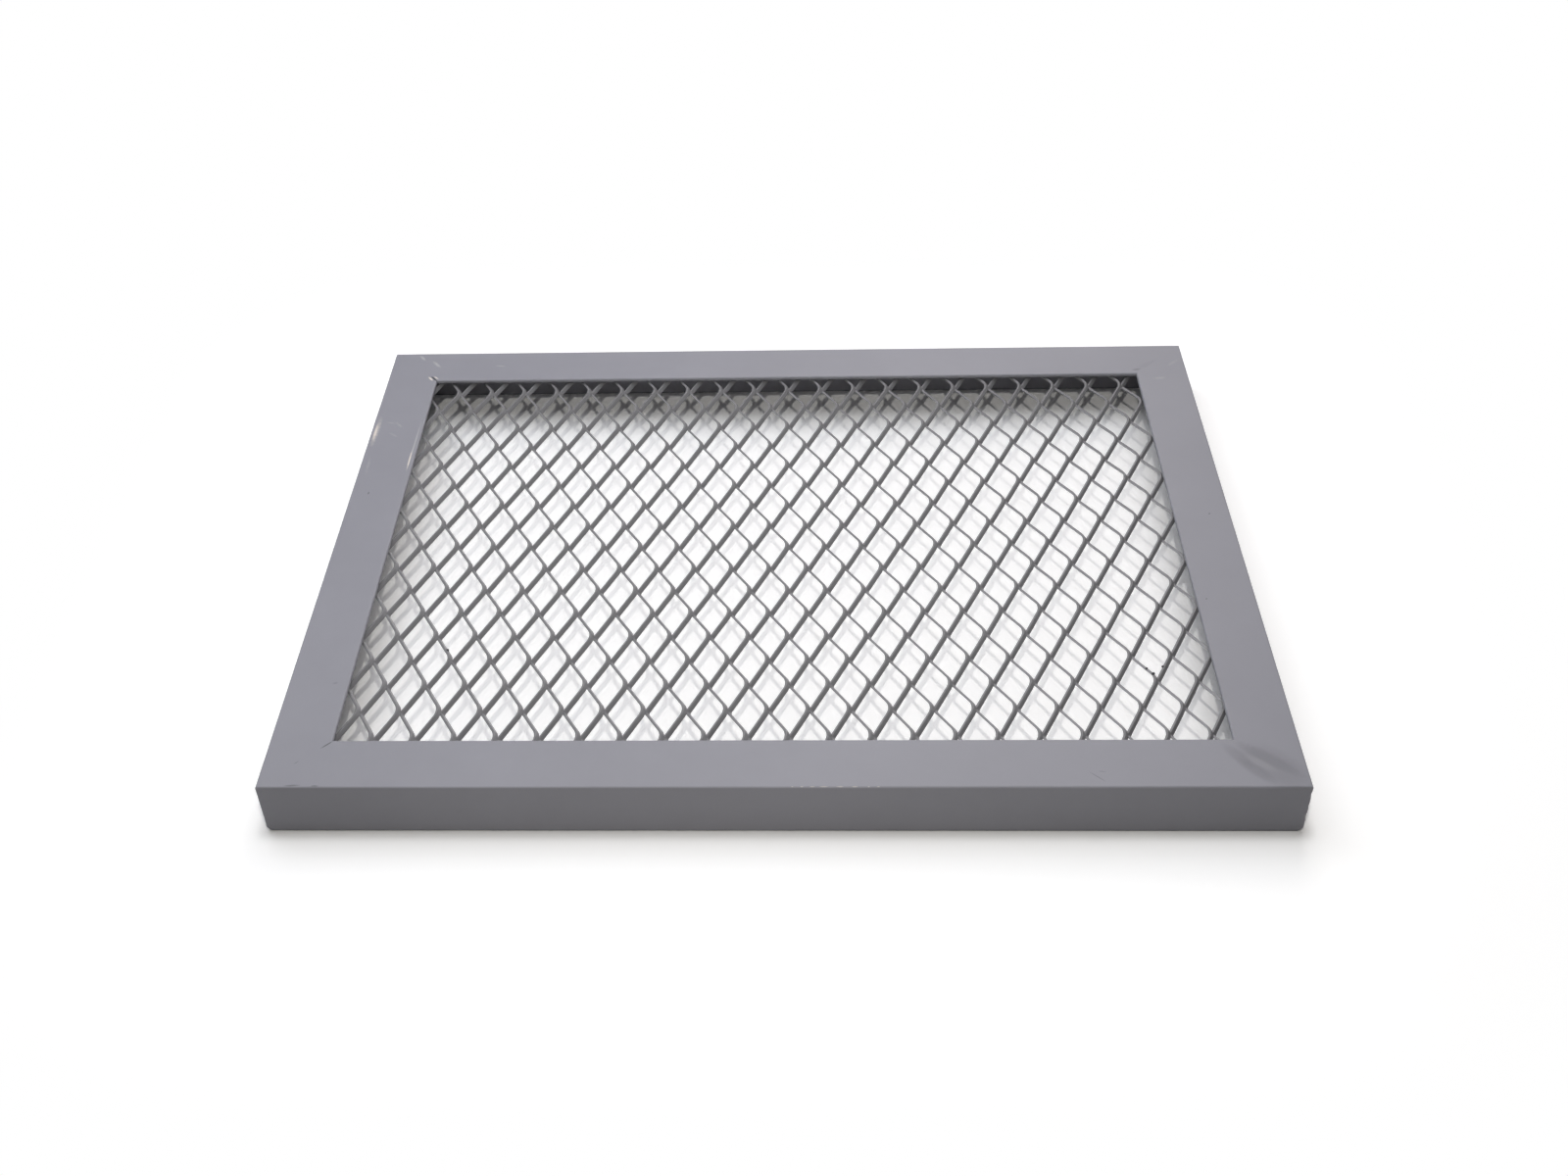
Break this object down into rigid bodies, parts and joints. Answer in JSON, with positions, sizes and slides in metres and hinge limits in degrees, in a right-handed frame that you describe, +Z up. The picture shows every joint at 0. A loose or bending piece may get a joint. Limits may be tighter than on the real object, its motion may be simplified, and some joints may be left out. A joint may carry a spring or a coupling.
{
  "type": "expanded metal panel",
  "caption": "Rectangular panel of raised expanded metal welded into a mitred frame of painted steel angle, used as a guard, vent or cover.",
  "frame": {"origin": "on the floor under the middle of the panel, which lies on the toes of its outer legs", "axes": "+X along the long rails, +Y to the back rail, +Z up through the sheet"},
  "size_m": [0.6096, 0.4572, 0.0381],
  "materials": {
    "frame_paint": "satin mid-grey paint on steel angle",
    "sheet_paint": "satin mid-grey paint on expanded steel sheet"
  },
  "bodies": {
    "root": {"front_rail": "frame_paint", "back_rail": "frame_paint", "left_rail": "frame_paint", "right_rail": "frame_paint", "expanded_sheet": "sheet_paint"}
  },
  "joints": []
}
